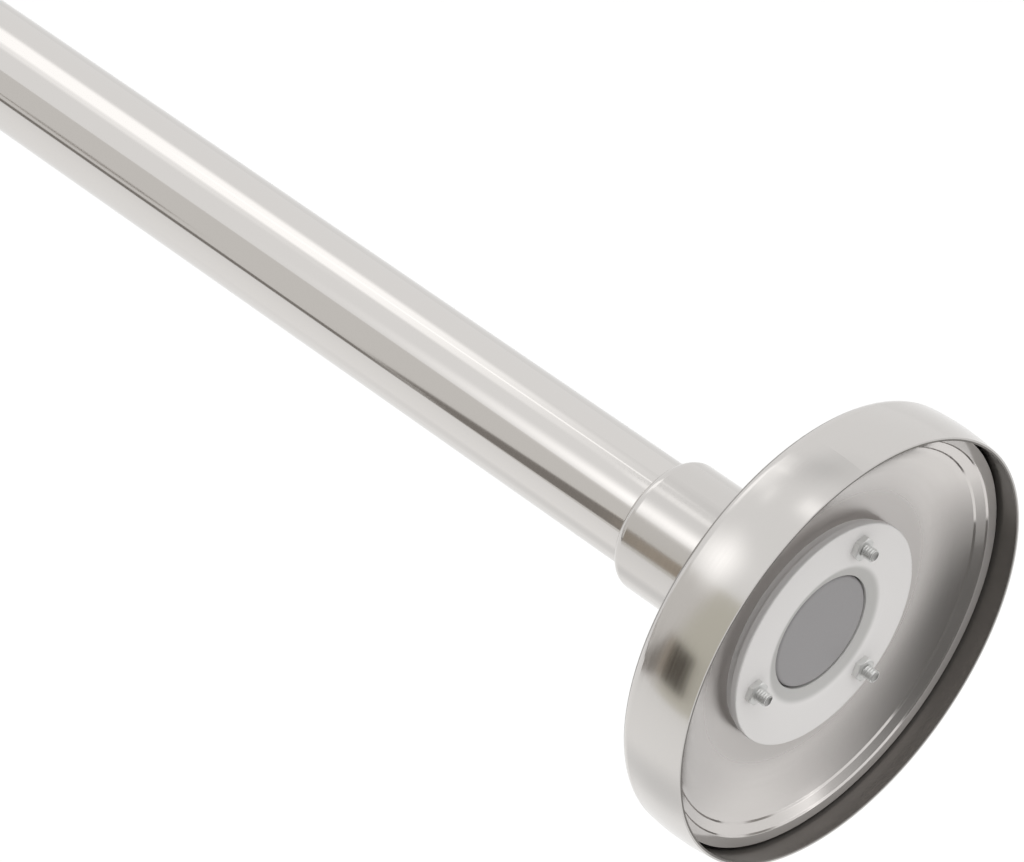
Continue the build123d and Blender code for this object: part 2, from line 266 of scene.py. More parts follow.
def flange_coordinates(tree, end):
    """Sockets for a place in the flange's own frame: its vector, its depth from the wall and its radius."""
    to_flange = flange_matrix(end).inverted()
    place = add_node(tree, "ShaderNodeTexCoord")
    own = add_node(
        tree,
        "ShaderNodeMapping",
        inputs={"Location": to_flange.to_translation(), "Rotation": to_flange.to_euler()},
        links={"Vector": place.outputs["Object"]},
    )
    parts = add_node(tree, "ShaderNodeSeparateXYZ", links={"Vector": own.outputs["Vector"]})
    flat = add_node(tree, "ShaderNodeCombineXYZ", links={"X": parts.outputs["X"], "Y": parts.outputs["Y"]})
    radius = add_node(tree, "ShaderNodeVectorMath", operation="LENGTH", links={0: flat.outputs["Vector"]})
    return own.outputs["Vector"], parts.outputs["Z"], radius.outputs["Value"]


def polished_metal(name, base, roughness, lines, bump_height, edge=1.0):
    """Metal with fine polishing lines: they vary the gloss and barely bend the reflections."""
    material, tree = new_material(name)
    noise = add_node(
        tree,
        "ShaderNodeTexNoise",
        noise_dimensions="1D",
        inputs={"Scale": 1 / settings().finish.polish_spacing, "Detail": 2.0, "Roughness": 0.6},
        links={"W": lines(tree)},
    )
    gloss = add_node(
        tree,
        "ShaderNodeMapRange",
        inputs={
            **NOISE_RANGE,
            "To Min": roughness * (1 - POLISH_SPREAD),
            "To Max": roughness * (1 + POLISH_SPREAD),
        },
        links={"Value": noise.outputs["Fac"]},
    )
    bump = add_node(
        tree,
        "ShaderNodeBump",
        inputs={"Strength": 1.0, "Distance": bump_height},
        links={"Height": noise.outputs["Fac"]},
    )
    shader = add_node(
        tree,
        "ShaderNodeBsdfPrincipled",
        inputs={"Base Color": rgba(base), "Metallic": 1.0, "Specular Tint": rgba((edge, edge, edge))},
        links={"Roughness": gloss.outputs["Result"], "Normal": bump.outputs["Normal"]},
    )
    add_node(tree, "ShaderNodeOutputMaterial", links={"Surface": shader.outputs[0]})
    return material


def object_axis(axis):
    """Measure along one of the object's axes, as a function for polished_metal."""

    def lines(tree):
        place = add_node(tree, "ShaderNodeTexCoord")
        parts = add_node(tree, "ShaderNodeSeparateXYZ", links={"Vector": place.outputs["Object"]})
        return parts.outputs[axis]

    return lines


def spun_lines(end):
    """Measure across a spun or turned piece of one flange: depth and radius together make rings."""

    def lines(tree):
        _, depth, radius = flange_coordinates(tree, end)
        return add_node(tree, "ShaderNodeMath", operation="ADD", links={0: depth, 1: radius}).outputs["Value"]

    return lines


class CURTAINROD_OT_finish_tubes(bpy.types.Operator):
    """Give the legs and the elbow their polished nickel"""

    bl_idname = "curtain_rod.finish_tubes"
    bl_label = "Finish tubes"

    def execute(self, context):
        # Nickel plate on drawn steel tube, polished on a wheel: near mirror, faint rings round the tube.
        finish = settings().finish
        for node, axis in (("leg_a", "X"), ("leg_b", "Y"), ("corner_elbow", "X")):
            material = polished_metal(
                f"polished_nickel_{node}",
                finish.tube_colour,
                finish.tube_roughness,
                object_axis(axis),
                bump_height=0.4 * MICRON,
                edge=finish.nickel_edge,
            )
            assign(node, material)
        return {"FINISHED"}


class CURTAINROD_OT_finish_covers(bpy.types.Operator):
    """Give the cover cups and the collars their spun and turned nickel"""

    bl_idname = "curtain_rod.finish_covers"
    bl_label = "Finish covers and collars"

    def execute(self, context):
        # Nickel plate on spun sheet and turned steel: the tool leaves rings round the axis, and the
        # plate is softer to the eye than the tube's.
        finish = settings().finish
        for end in ENDS:
            cover = polished_metal(
                f"spun_nickel_cover_{end}",
                finish.cover_colour,
                finish.cover_roughness,
                spun_lines(end),
                bump_height=0.04 * MICRON,
            )
            self.dull_and_shaded_inside(cover, end)
            assign(f"cover_cup_{end}", cover)
            collar = polished_metal(
                f"turned_nickel_collar_{end}",
                finish.cover_colour,
                finish.collar_roughness,
                spun_lines(end),
                bump_height=0.2 * MICRON,
            )
            assign(f"collar_{end}", collar)
        return {"FINISHED"}

    def dull_and_shaded_inside(self, material, end):
        """The plate is thin inside the cup, and nothing polishes it: softer there, and its colour is painted
        darker there as painted shade inside the cup.
        """
        finish = settings().finish
        low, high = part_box(f"cover_cup_{end}")
        cup_depth = min(high - low)
        swell = max(high - low) / 2 - finish.cover_rim
        half_sheet = finish.cover_sheet / 2
        tree = material.node_tree
        shader = next(node for node in tree.nodes if node.type == "BSDF_PRINCIPLED")
        _, depth, radius = flange_coordinates(tree, end)
        # The wall bows out: by the whole swell at half its depth, and by none at the rim and the back.
        bow = add_node(
            tree,
            "ShaderNodeMath",
            operation="MULTIPLY_ADD",
            inputs={1: 2 / cup_depth, 2: -1},
            links={0: depth},
        )
        fall = add_node(
            tree,
            "ShaderNodeMath",
            operation="MULTIPLY",
            links={0: bow.outputs["Value"], 1: bow.outputs["Value"]},
        )
        mid_sheet = add_node(
            tree,
            "ShaderNodeMath",
            operation="MULTIPLY_ADD",
            inputs={1: -swell, 2: finish.cover_rim + swell - half_sheet},
            links={0: fall.outputs["Value"]},
        )
        within = add_node(
            tree, "ShaderNodeMath", operation="LESS_THAN", links={0: radius, 1: mid_sheet.outputs["Value"]}
        )
        before = add_node(
            tree,
            "ShaderNodeMath",
            operation="LESS_THAN",
            inputs={1: cup_depth - half_sheet},
            links={0: depth},
        )
        inside = add_node(
            tree,
            "ShaderNodeMath",
            operation="MULTIPLY",
            links={0: within.outputs["Value"], 1: before.outputs["Value"]},
        )
        # Painted shade: the inside of the cup takes the darker inside colour.
        painted_shade_tone = add_node(
            tree,
            "ShaderNodeMix",
            data_type="RGBA",
            inputs={6: rgba(finish.cover_colour), 7: rgba(finish.inside_shade_colour)},
            links={0: inside.outputs["Value"]},
        )
        tree.links.new(painted_shade_tone.outputs[2], shader.inputs["Base Color"])
        polish = shader.inputs["Roughness"].links[0].from_socket
        gloss = add_node(
            tree,
            "ShaderNodeMix",
            inputs={3: finish.inside_roughness},
            links={0: inside.outputs["Value"], 2: polish},
        )
        tree.links.new(gloss.outputs[0], shader.inputs["Roughness"])
        shine = add_node(
            tree,
            "ShaderNodeMapRange",
            inputs={"To Min": 1.0, "To Max": finish.inside_shine},
            links={"Value": inside.outputs["Value"]},
        )
        tree.links.new(shine.outputs["Result"], shader.inputs["Metallic"])


class CURTAINROD_OT_finish_dishes(bpy.types.Operator):
    """Give the inner dishes their bright pressed steel"""

    bl_idname = "curtain_rod.finish_dishes"
    bl_label = "Finish dishes"

    def execute(self, context):
        # Bright rolled steel after pressing: reflective with a thin grey bloom, and faint drawing rings.
        finish = settings().finish
        for end in ENDS:
            dish = polished_metal(
                f"pressed_steel_dish_{end}",
                finish.dish_colour,
                finish.dish_roughness,
                spun_lines(end),
                bump_height=0.15 * MICRON,
            )
            self.mark_press(dish, end)
            assign(f"inner_dish_{end}", dish)
        return {"FINISHED"}

    def mark_press(self, material, end):
        """What the press does: it irons the bowl, leaves the corner round the floor unrubbed and duller,
        coins the steps sharp, and lets the flat lip keep its grey rolled skin."""
        finish = settings().finish
        tree = material.node_tree
        shader = next(node for node in tree.nodes if node.type == "BSDF_PRINCIPLED")
        _, _, radius = flange_coordinates(tree, end)
        bright = add_node(
            tree,
            "ShaderNodeMapRange",
            inputs={
                "From Min": finish.lip_radius,
                "From Max": finish.lip_radius + LIP_EDGE,
                "To Min": 1 - finish.dish_bloom,
                "To Max": 1 - finish.lip_bloom,
            },
            links={"Value": radius},
        )
        tree.links.new(bright.outputs["Result"], shader.inputs["Metallic"])
        rubbed = add_node(
            tree,
            "ShaderNodeMapRange",
            interpolation_type="SMOOTHSTEP",
            inputs={"From Min": finish.corner_radius, "From Max": finish.corner_radius + CORNER_FADE},
            links={"Value": radius},
        )
        polish = shader.inputs["Roughness"].links[0].from_socket
        bowl_gloss = add_node(
            tree,
            "ShaderNodeMix",
            inputs={2: finish.corner_roughness},
            links={0: rubbed.outputs["Result"], 3: polish},
        )
        coined = add_node(
            tree,
            "ShaderNodeMapRange",
            interpolation_type="SMOOTHSTEP",
            inputs={"From Min": finish.step_radius - STEP_EDGE, "From Max": finish.step_radius},
            links={"Value": radius},
        )
        gloss = add_node(
            tree,
            "ShaderNodeMix",
            inputs={3: finish.lip_roughness},
            links={0: coined.outputs["Result"], 2: bowl_gloss.outputs[0]},
        )
        tree.links.new(gloss.outputs[0], shader.inputs["Roughness"])


class CURTAINROD_OT_finish_rings(bpy.types.Operator):
    """Give the clamp rings their pale matt casting"""

    bl_idname = "curtain_rod.finish_rings"
    bl_label = "Finish clamp rings"

    def execute(self, context):
        # Tumbled die casting: pale and matt, with a fine grain. The dished band round the hole is painted
        # greyer: painted shade in the recess.
        finish = settings().finish
        for end in ENDS:
            material, tree = new_material(f"tumbled_die_casting_{end}")
            own, _, radius = flange_coordinates(tree, end)
            grain = add_node(
                tree,
                "ShaderNodeTexNoise",
                inputs={"Scale": 1 / finish.cast_grain, "Detail": 3.0},
                links={"Vector": own},
            )
            gloss = add_node(
                tree,
                "ShaderNodeMapRange",
                inputs={**NOISE_RANGE, "To Min": 0.5, "To Max": 0.62},
                links={"Value": grain.outputs["Fac"]},
            )
            bump = add_node(
                tree,
                "ShaderNodeBump",
                inputs={"Strength": 1.0, "Distance": 6 * MICRON},
                links={"Height": grain.outputs["Fac"]},
            )
            # Painted shade: the colour turns from the shade colour inside the dished band to the ring's colour
            # outside it.
            out_of_shade = add_node(
                tree,
                "ShaderNodeMapRange",
                interpolation_type="SMOOTHSTEP",
                inputs={
                    "From Min": finish.ring_band - SHADE_INSIDE,
                    "From Max": finish.ring_band + SHADE_OUTSIDE,
                },
                links={"Value": radius},
            )
            painted_shade_tone = add_node(
                tree,
                "ShaderNodeMix",
                data_type="RGBA",
                inputs={6: rgba(finish.ring_shade_colour), 7: rgba(finish.ring_colour)},
                links={0: out_of_shade.outputs["Result"]},
            )
            shader = add_node(
                tree,
                "ShaderNodeBsdfPrincipled",
                inputs={"Metallic": 0.0, "Specular IOR Level": 0.3},
                links={
                    "Base Color": painted_shade_tone.outputs[2],
                    "Roughness": gloss.outputs["Result"],
                    "Normal": bump.outputs["Normal"],
                },
            )
            add_node(tree, "ShaderNodeOutputMaterial", links={"Surface": shader.outputs[0]})
            assign(f"clamp_ring_{end}", material)
        return {"FINISHED"}


def zinc_plate():
    """Bright zinc plate on steel: pale, half scattering, with a slightly cloudy gloss."""
    finish = settings().finish
    material, tree = new_material("zinc_plated_steel")
    place = add_node(tree, "ShaderNodeTexCoord")
    cloud = add_node(
        tree,
        "ShaderNodeTexNoise",
        inputs={"Scale": 1 / finish.zinc_cloud, "Detail": 2.0},
        links={"Vector": place.outputs["Object"]},
    )
    gloss = add_node(
        tree,
        "ShaderNodeMapRange",
        inputs={**NOISE_RANGE, "To Min": 0.3, "To Max": 0.42},
        links={"Value": cloud.outputs["Fac"]},
    )
    shader = add_node(
        tree,
        "ShaderNodeBsdfPrincipled",
        inputs={"Base Color": rgba(finish.zinc_colour), "Metallic": finish.zinc_shine},
        links={"Roughness": gloss.outputs["Result"]},
    )
    add_node(tree, "ShaderNodeOutputMaterial", links={"Surface": shader.outputs[0]})
    return material


def deselect_all():
    """Leave edit mode, with nothing selected."""
    if bpy.context.object and bpy.context.object.mode != "OBJECT":
        bpy.ops.object.mode_set(mode="OBJECT")
    bpy.ops.object.select_all(action="DESELECT")


def apply_modifier(piece, kind, **options):
    """Add a modifier with its options and apply it."""
    bpy.context.view_layer.objects.active = piece
    modifier = piece.modifiers.new(kind.title(), kind)
    for key, value in options.items():
        setattr(modifier, key, value)
    bpy.ops.object.modifier_apply(modifier=modifier.name)


def combine(piece, tool, operation):
    """Join a tool solid to a piece, cut it away or keep what they share, and remove the tool."""
    apply_modifier(piece, "BOOLEAN", object=tool, operation=operation, solver="EXACT")
    bpy.data.objects.remove(tool)


def bar(radius, start, end, sides=PLAIN_SIDES):
    """A closed round bar on the Z axis between two heights."""
    deselect_all()
    bpy.ops.mesh.primitive_cylinder_add(
        vertices=sides, radius=radius, depth=end - start, location=(0, 0, (start + end) / 2)
    )
    bpy.ops.object.transform_apply(location=True, rotation=True, scale=True)
    return bpy.context.object


def cone(start_radius, end_radius, start, end, sides):
    """A closed cone on the Z axis between two heights."""
    deselect_all()
    bpy.ops.mesh.primitive_cone_add(
        vertices=sides,
        radius1=start_radius,
        radius2=end_radius,
        depth=end - start,
        location=(0, 0, (start + end) / 2),
    )
    bpy.ops.object.transform_apply(location=True, rotation=True, scale=True)
    return bpy.context.object


def select_vertices(piece, test):
    """Select the vertices that pass a test of their place, in edit mode."""
    bpy.ops.object.mode_set(mode="EDIT")
    bpy.ops.mesh.select_mode(type="VERT")
    bpy.ops.mesh.select_all(action="DESELECT")
    bpy.ops.object.mode_set(mode="OBJECT")
    for vertex in piece.data.vertices:
        vertex.select = test(vertex.co)
    bpy.ops.object.mode_set(mode="EDIT")


def thread_form(sizes, start, end):
    """A threaded bar on the Z axis between two heights: one tooth, wound up and cut to length."""
    deselect_all()
    pitch = sizes.thread_pitch
    bpy.ops.mesh.primitive_plane_add(size=math.sqrt(2), rotation=(math.pi / 2, 0, 0))
    bpy.ops.object.transform_apply(location=True, rotation=True, scale=True)
    tooth = bpy.context.object
    # The square is stood on a corner and loses its inner corner, which leaves the tooth's two flanks.
    bpy.ops.object.mode_set(mode="EDIT")
    bpy.ops.mesh.select_all(action="SELECT")
    bpy.ops.transform.rotate(value=math.pi / 4, orient_axis="Y", center_override=(0, 0, 0))
    select_vertices(tooth, lambda place: place.x < -0.5)
    bpy.ops.mesh.delete(type="VERT")
    bpy.ops.mesh.select_all(action="SELECT")
    bpy.ops.transform.resize(value=(sizes.thread_depth, 1, pitch / 2), center_override=(0, 0, 0))
    root = sizes.thread_radius - sizes.thread_depth
    bpy.ops.transform.translate(value=(root, 0, start - pitch))
    deselect_all()
    apply_modifier(
        tooth,
        "SCREW",
        axis="Z",
        angle=2 * math.pi,
        screw_offset=pitch,
        iterations=math.ceil((end - start) / pitch) + SPARE_TURNS,
        steps=THREAD_STEPS,
        render_steps=THREAD_STEPS,
        use_merge_vertices=True,
    )
    bpy.ops.object.mode_set(mode="EDIT")
    bpy.ops.mesh.select_all(action="SELECT")
    bpy.ops.mesh.remove_doubles(threshold=pitch / 100)
    for height, clear in ((start, {"clear_inner": True}), (end, {"clear_outer": True})):
        bpy.ops.mesh.select_all(action="SELECT")
        bpy.ops.mesh.bisect(plane_co=(0, 0, height), plane_no=(0, 0, 1), use_fill=True, **clear)
    bpy.ops.mesh.select_all(action="SELECT")
    bpy.ops.mesh.normals_make_consistent(inside=False)
    bpy.ops.object.mode_set(mode="OBJECT")
    return tooth


def pan_head(sizes, base, top):
    """The screw's pan head on the Z axis, with its edge rounded and its cross recess cut."""
    head = bar(sizes.head_diameter / 2, base, top, sides=FINE_SIDES)
    select_vertices(head, lambda place: place.z > top - sizes.head_height / 2)
    bpy.ops.mesh.bevel(offset=sizes.head_edge, segments=5, affect="EDGES")
    for turn in (0, math.pi / 2):
        deselect_all()
        bpy.ops.mesh.primitive_cube_add(size=1, location=(0, 0, top), rotation=(0, 0, turn))
        slot = bpy.context.object
        slot.scale = (sizes.recess_length, sizes.recess_width, 2 * sizes.recess_depth)
        bpy.ops.object.transform_apply(location=True, rotation=True, scale=True)
        combine(head, slot, "DIFFERENCE")
    return head


def screw_form(sizes, tip, nut_face, head_top):
    """One clamp screw on the Z axis: threaded end towards the wall, plain core and a pan head."""
    screw = thread_form(sizes, tip, nut_face)
    end_radius = sizes.thread_radius - sizes.tip_chamfer
    reach = nut_face - tip + sizes.thread_radius
    chamfer = cone(end_radius, end_radius + reach, tip, tip + reach, FINE_SIDES)
    combine(screw, chamfer, "INTERSECT")
    mouth = end_radius - END_RIM
    hollow = cone(2 * mouth, 0, tip - sizes.tip_hollow, tip + sizes.tip_hollow, PLAIN_SIDES)
    combine(screw, hollow, "DIFFERENCE")
    base = head_top - sizes.head_height
    core_radius = sizes.thread_radius - sizes.thread_depth
    combine(screw, bar(core_radius, nut_face - sizes.thread_pitch, base + sizes.head_height / 2), "UNION")
    combine(screw, pan_head(sizes, base, head_top), "UNION")
    return screw


class CURTAINROD_OT_model_clamp_screws(bpy.types.Operator):
    """Model the threaded clamp screws and finish their nuts"""

    bl_idname = "curtain_rod.model_clamp_screws"
    bl_label = "Model clamp screws"

    def execute(self, context):
        sizes = settings().screw
        zinc = zinc_plate()
        low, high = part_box("clamp_screws_a")
        nut_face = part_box("clamp_nuts_a")[0].x
        pattern = screw_form(sizes, low.x, nut_face, high.x)
        pattern.data.materials.clear()
        pattern.data.materials.append(zinc)
        pattern.data.materials.append(self.shaded_cut_end())
        self.bare_and_shaded_hollow(pattern, sizes, low.x)
        for end in ENDS:
            screws = self.set_round_flange(context, pattern, sizes, end)
            screws.name = f"threaded_clamp_screws_{end}"
            bpy.ops.object.shade_smooth_by_angle(angle=SMOOTH_ANGLE)
            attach(screws, "rod")
            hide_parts(f"clamp_screws_{end}")
            assign(f"clamp_nuts_{end}", zinc)
        bpy.data.objects.remove(pattern)
        return {"FINISHED"}

    def shaded_cut_end(self):
        """Plating barely reaches into the hollow ends of the screws: bare steel with sharper reflections
        there, and its colour is painted darker as painted shade in the hollow.
        """
        return polished_metal(
            "shaded_cut_steel_end",
            settings().finish.bare_end_shade_colour,
            roughness=0.2,
            lines=object_axis("Z"),
            bump_height=0.2 * MICRON,
        )

    def bare_and_shaded_hollow(self, pattern, sizes, tip):
        """Give the faces of the hollow in the screw's end the second material, and all others the first."""
        mouth = sizes.thread_radius - sizes.tip_chamfer - END_RIM / 2
        bottom = tip + HOLLOW_SLACK * sizes.tip_hollow
        for face in pattern.data.polygons:
            corners = [pattern.data.vertices[i].co for i in face.vertices]
            hollow = all(corner.xy.length < mouth and corner.z < bottom for corner in corners)
            face.material_index = int(hollow)

    def set_round_flange(self, context, pattern, sizes, end):
        """Copies of the screw, spaced round one flange and joined into one piece."""
        circle = MOUNTS["studs_a"]["dims"]["pcd_mm"] * MM / 2
        copies = []
        for i in range(sizes.count):
            turn = sizes.first_angle + 2 * math.pi * i / sizes.count
            copy = pattern.copy()
            copy.data = pattern.data.copy()
            context.collection.objects.link(copy)
            around = Matrix.Rotation(turn, 4, "Z") @ Matrix.Translation((circle, 0, 0))
            copy.data.transform(flange_matrix(end) @ around)
            copies.append(copy)
        deselect_all()
        for copy in copies:
            copy.select_set(True)
        context.view_layer.objects.active = copies[0]
        bpy.ops.object.join()
        return context.object


class CURTAINROD_OT_finish_plugs(bpy.types.Operator):
    """Give the tube plugs their moulded grey plastic"""

    bl_idname = "curtain_rod.finish_plugs"
    bl_label = "Finish tube plugs"

    def execute(self, context):
        # Injection-moulded polythene: even grey with a soft sheen and a fine sparked texture.
        finish = settings().finish
        material, tree = new_material("moulded_grey_polythene")
        place = add_node(tree, "ShaderNodeTexCoord")
        texture = add_node(
            tree,
            "ShaderNodeTexNoise",
            inputs={"Scale": 1 / finish.plug_grain, "Detail": 2.0},
            links={"Vector": place.outputs["Object"]},
        )
        gloss = add_node(
            tree,
            "ShaderNodeMapRange",
            inputs={**NOISE_RANGE, "To Min": 0.4, "To Max": 0.5},
            links={"Value": texture.outputs["Fac"]},
        )
        bump = add_node(
            tree,
            "ShaderNodeBump",
            inputs={"Strength": 1.0, "Distance": 3 * MICRON},
            links={"Height": texture.outputs["Fac"]},
        )
        shader = add_node(
            tree,
            "ShaderNodeBsdfPrincipled",
            inputs={"Base Color": rgba(finish.plug_colour), "Specular IOR Level": 0.4},
            links={"Roughness": gloss.outputs["Result"], "Normal": bump.outputs["Normal"]},
        )
        add_node(tree, "ShaderNodeOutputMaterial", links={"Surface": shader.outputs[0]})
        for end in ENDS:
            assign(f"tube_plug_{end}", material)
        return {"FINISHED"}


class CURTAINROD_OT_finish_joints(bpy.types.Operator):
    """Give the joiner sleeves and all grub screws their plain steel"""

    bl_idname = "curtain_rod.finish_joints"
    bl_label = "Finish joiners and grub screws"

    def execute(self, context):
        # Hardened and blued grub screws are dark with a soft gloss; the drawn sleeves are lighter.
        finish = settings().finish
        grub = polished_metal(
            "hardened_steel_grub",
            finish.grub_colour,
            roughness=0.35,
            lines=object_axis("Z"),
            bump_height=0.5 * MICRON,
        )
        sleeve = polished_metal(
            "drawn_steel_sleeve",
            finish.joiner_colour,
            roughness=0.3,
            lines=object_axis("Z"),
            bump_height=0.5 * MICRON,
        )
        for end in ENDS:
            assign(f"collar_set_screw_{end}", grub)
            assign(f"joiner_screws_{end}", grub)
            assign(f"joiner_{end}", sleeve)
        return {"FINISHED"}


def card_material(name, light, tint, soft):
    """Light or shade from a studio card, fading out near its edges. The soft share is of each half side."""
    material, tree = new_material(name)
    place = add_node(tree, "ShaderNodeTexCoord")
    parts = add_node(tree, "ShaderNodeSeparateXYZ", links={"Vector": place.outputs["UV"]})
    masks = []
    for axis, width in zip("XY", soft):
        ramp = add_node(
            tree,
            "ShaderNodeMath",
            operation="PINGPONG",
            inputs={1: 0.5},
            links={0: parts.outputs[axis]},
        )
        mask = add_node(
            tree,
            "ShaderNodeMapRange",
            interpolation_type="SMOOTHSTEP",
            inputs={"From Min": 0.0, "From Max": max(width / 2, HARD_EDGE)},
            links={"Value": ramp.outputs["Value"]},
        )
        masks.append(mask.outputs["Result"])
    both = add_node(tree, "ShaderNodeMath", operation="MULTIPLY", links={0: masks[0], 1: masks[1]})
    clear = add_node(tree, "ShaderNodeBsdfTransparent")
    glow = add_node(tree, "ShaderNodeEmission", inputs={"Color": rgba(tint), "Strength": light})
    mixed = add_node(
        tree,
        "ShaderNodeMixShader",
        links={0: both.outputs["Value"], 1: clear.outputs[0], 2: glow.outputs[0]},
    )
    add_node(tree, "ShaderNodeOutputMaterial", links={"Surface": mixed.outputs[0]})
    return material


def add_card(name, corners, light, tint, soft):
    """A flat card between four corners, in metres, that only reflections see."""
    deselect_all()
    bpy.ops.mesh.primitive_plane_add(size=1)
    card = bpy.context.object
    card.name = name
    for vertex, corner in zip(card.data.vertices, corners):
        vertex.co = corner
    card.data.materials.append(card_material(name, light, tint, soft))
    card.visible_camera = False
    card.visible_diffuse = False
    card.visible_transmission = False
    card.visible_shadow = False


def roof_corners(height, near_x, far_x, low_y, high_y):
    """Corners of a level card above the rod."""
    return [(near_x, low_y, height), (far_x, low_y, height), (near_x, high_y, height), (far_x, high_y, height)]


def wall_corners(y, near_x, far_x, bottom, top):
    """Corners of an upright card along leg a. Its bottom and top are heights at the near and the far end."""
    return [(near_x, y, bottom[0]), (far_x, y, bottom[1]), (near_x, y, top[0]), (far_x, y, top[1])]


def facing_corners(azimuth, elevation, distance, width, height):
    """Corners of a card that faces flange a's centre from one side, given in degrees and metres."""
    around = math.radians(azimuth)
    lift = math.radians(elevation)
    out = Vector((math.cos(lift) * math.cos(around), math.cos(lift) * math.sin(around), math.sin(lift)))
    side = Vector((0, 0, 1)).cross(out).normalized()
    rise = out.cross(side)
    return [
        out * distance + side * (u * width / 2) + rise * (v * height / 2)
        for u, v in ((-1, -1), (1, -1), (-1, 1), (1, 1))
    ]


# Tints of the cards.
WHITE = hex_colour("#FFFFFF")
WARM_GREY = hex_colour("#FFFDFA")
WARM = hex_colour("#FFFCEE")
BROWN = hex_colour("#FFF0DC")
SHADE = hex_colour("#FFF7EF")
DARK = hex_colour("#FFFAF2")

# The studio's softboxes and flags: name, corners, light, tint, and the soft share along and across.
CARDS = (
    ("overhead_strip", roof_corners(0.9, 0.55, 2.2, -0.47, 0.03), 1.5, WHITE, (0.3, 0.4)),
    ("strip_fade", roof_corners(0.91, 0.72, 2.2, -0.1, 0.19), 1.22, WHITE, (0.3, 0.8)),
    ("strip_end", roof_corners(0.895, 0.575, 0.9, -0.285, -0.225), 1.6, WHITE, (0.1, 0.5)),
    ("collar_glow", roof_corners(0.91, 0.52, 0.6, -0.14, 0.1), 1.38, WHITE, (0.6, 0.8)),
    ("round_softbox", facing_corners(46, 45, 0.65, 0.36, 0.36), 1.72, WHITE, (1.0, 1.0)),
    ("rim_softbox", facing_corners(-15, 76, 0.8, 0.22, 0.22), 1.6, WHITE, (1.0, 1.0)),
    ("top_grey", facing_corners(-45, 57, 0.9, 0.6, 0.42), 0.78, WHITE, (1.0, 1.0)),
    ("side_card", wall_corners(1.03, 0.0, 2.5, (-0.26, -0.26), (0.96, 0.96)), 0.77, WARM_GREY, (0.0, 0.0)),
    ("near_side_card", wall_corners(1.01, 0.0, 0.69, (-0.256, -0.256), (0.95, 0.95)), 0.66, WARM, (0.6, 0.0)),
    ("dark_block", wall_corners(0.99, 0.28, 0.598, (-0.165, -0.175), (0.24, 0.27)), 0.09, BROWN, (0.3, 0.35)),
    ("dark_seam", wall_corners(1.005, 0.54, 0.67, (-0.17, -0.17), (0.27, 0.27)), 0.6, BROWN, (0.1, 0.35)),
    ("dark_wedge", wall_corners(1.0, 0.62, 0.8, (-0.16, -0.268), (0.34, -0.08)), 0.25, SHADE, (0.2, 0.3)),
    ("dark_line", wall_corners(1.0, 0.767, 2.5, (-0.269, -0.276), (-0.13, -0.155)), 0.24, SHADE, (0.05, 0.4)),
    ("floor_grey", facing_corners(46, -54, 0.9, 0.8, 0.5), 0.84, WHITE, (0.9, 0.9)),
    ("camera_flag", facing_corners(132, -12, 1.0, 2.0, 3.2), 0.08, DARK, (0.25, 0.2)),
    ("front_flag", facing_corners(183, -20, 0.9, 1.54, 1.76), 0.06, DARK, (1.0, 0.85)),
    ("left_grey", facing_corners(-114, -44, 1.0, 0.76, 0.7), 0.76, WHITE, (0.8, 0.8)),
    ("front_softbox", facing_corners(-141, 10, 0.85, 0.3, 0.72), 2.1, WHITE, (0.7, 0.5)),
    ("left_flag", facing_corners(-114, 3, 1.1, 0.3, 0.5), 0.25, DARK, (0.5, 0.5)),
)


